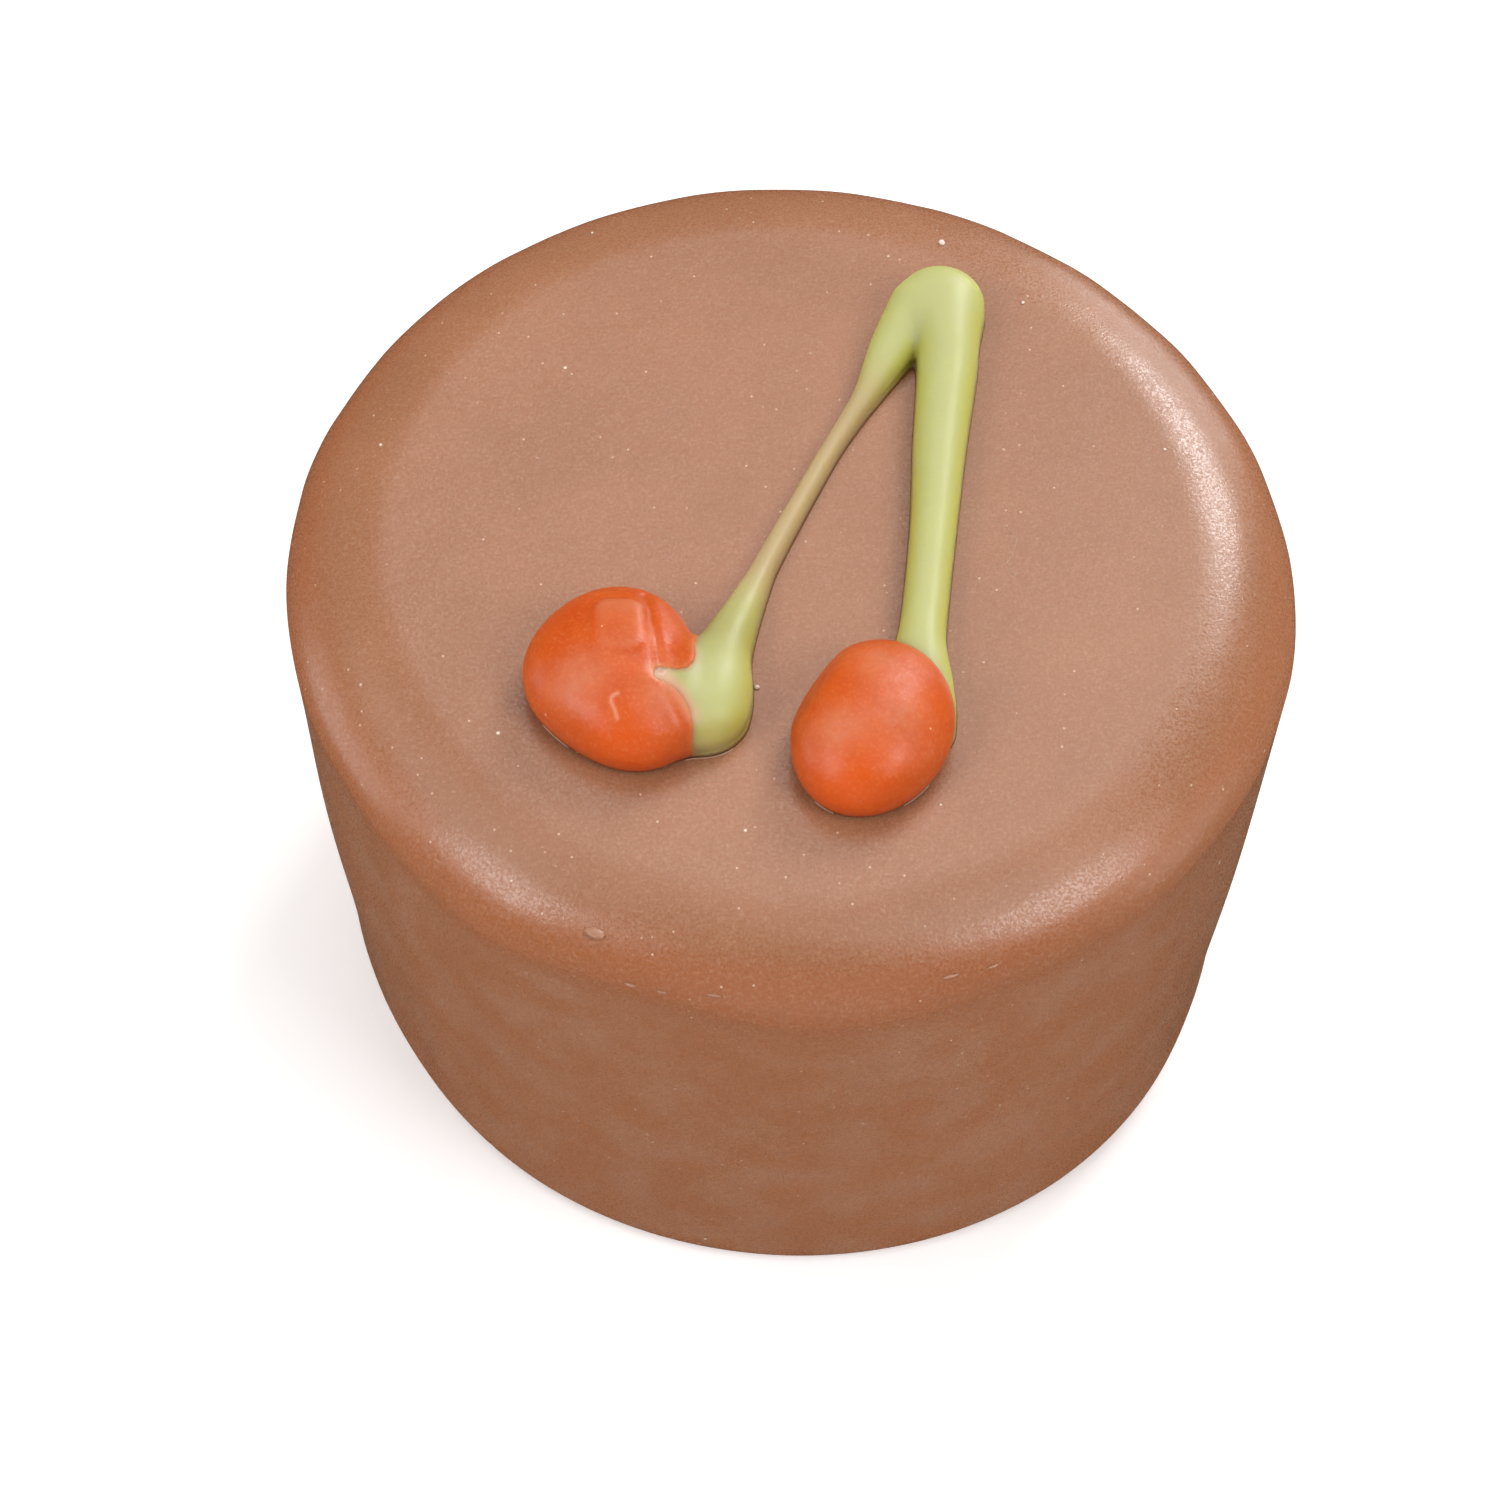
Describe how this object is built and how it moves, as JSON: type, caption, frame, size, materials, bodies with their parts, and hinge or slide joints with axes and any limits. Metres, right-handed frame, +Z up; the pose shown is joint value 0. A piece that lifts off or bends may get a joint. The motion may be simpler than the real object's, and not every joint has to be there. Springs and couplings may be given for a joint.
{
  "type": "chocolate bonbon",
  "caption": "Round milk chocolate bonbon with a softly rolled rim and a flat top, piped with a green forked stalk and red drops as a pair of cherries.",
  "frame": {"origin": "middle of the flat underside, where the bonbon rests", "axes": "+Z up through the flat top; the red drops lie towards -Y, the fork of the green stalk towards +Y, and +X is to the right when seen from -Y"},
  "size_m": [0.028, 0.0282, 0.02],
  "materials": {
    "milk_chocolate": "satin milk chocolate coat with a fine cocoa butter grain",
    "green_icing": "pale green coloured white chocolate, waxy and slightly see-through where it is thin",
    "red_icing": "orange-red coloured white chocolate with a satin sheen"
  },
  "bodies": {
    "root": {"chocolate_body": "milk_chocolate", "stem_piping": "green_icing", "cherry_left": "red_icing", "cherry_right": "red_icing"}
  },
  "joints": []
}
